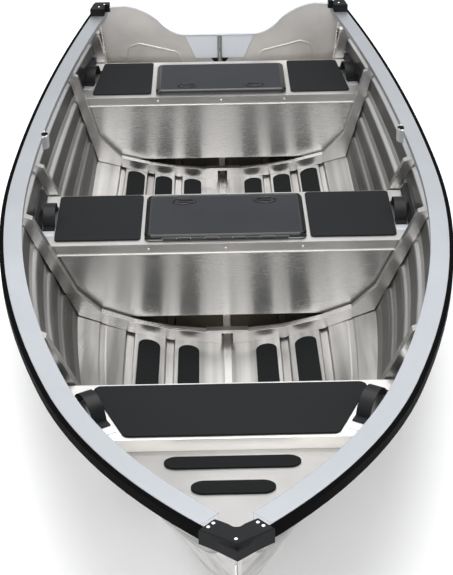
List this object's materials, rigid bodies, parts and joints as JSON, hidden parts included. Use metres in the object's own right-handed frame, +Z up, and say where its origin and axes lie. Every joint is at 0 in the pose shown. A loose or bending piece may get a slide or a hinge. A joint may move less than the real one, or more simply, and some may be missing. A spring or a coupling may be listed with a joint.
{
  "type": "aluminium boat",
  "caption": "Open aluminium boat with a vee hull, three bench seats, two hinged bench hatches, a foredeck and a low transom for an outboard motor.",
  "frame": {"origin": "on the centreline amidships, at the waterline", "axes": "bow towards -Y, stern towards +Y, port side +X, +Z up"},
  "size_m": [1.618, 4.1248, 0.7621],
  "materials": {
    "mill_aluminium": "bare mill sheet, lightly brushed",
    "anodised_aluminium": "satin anodised extrusion",
    "rail_rubber": "black, matt",
    "foam_pad": "closed-cell foam, fine matt grain",
    "hatch_plastic": "dark grey, semi-gloss moulded",
    "cap_plastic": "black moulded",
    "strap_webbing": "black flat strap",
    "stainless": "polished stainless"
  },
  "bodies": {
    "boat": {"aft_bench": "mill_aluminium", "aft_bench_pads": "foam_pad", "aft_hatch_frame": "hatch_plastic", "aft_hatch_pin": "stainless", "aft_locker": "mill_aluminium", "bow_cap": "cap_plastic", "bow_eye": "stainless", "chine_gussets": "mill_aluminium", "deck_pads": "foam_pad", "floor_pads": "foam_pad", "floor_ribs": "mill_aluminium", "foredeck": "mill_aluminium", "front_bench": "mill_aluminium", "front_bench_pad": "foam_pad", "front_bulkhead": "mill_aluminium", "gunwales": "anodised_aluminium", "hull": "mill_aluminium", "inner_keel": "mill_aluminium", "keel_strip": "mill_aluminium", "mid_bench": "mill_aluminium", "mid_bench_pads": "foam_pad", "mid_hatch_frame": "hatch_plastic", "mid_hatch_pin": "stainless", "mid_locker": "mill_aluminium", "motor_pad": "anodised_aluminium", "rowlock_sockets": "anodised_aluminium", "rub_rail": "rail_rubber", "side_ribs": "mill_aluminium", "side_sheets": "mill_aluminium", "side_strips": "strap_webbing", "splice_brackets": "mill_aluminium", "stern_caps": "cap_plastic", "strap_handles": "strap_webbing", "strap_plates": "mill_aluminium", "transom": "mill_aluminium", "transom_rail": "anodised_aluminium", "transom_tube": "mill_aluminium", "tube_bracket": "cap_plastic"},
    "mid_lid": {"mid_hatch_lid": "hatch_plastic", "mid_hatch_latches": "hatch_plastic"},
    "aft_lid": {"aft_hatch_lid": "hatch_plastic", "aft_hatch_latches": "hatch_plastic"}
  },
  "joints": [
    {"name": "mid_lid_hinge", "type": "hinge", "parent": "boat", "child": "mid_lid", "pos_m": [0, 0.001, 0.3398], "axis": [1, 0, 0], "range_deg": [0, 100]},
    {"name": "aft_lid_hinge", "type": "hinge", "parent": "boat", "child": "aft_lid", "pos_m": [0, 1.775, 0.3398], "axis": [-1, 0, 0], "range_deg": [0, 100]}
  ]
}
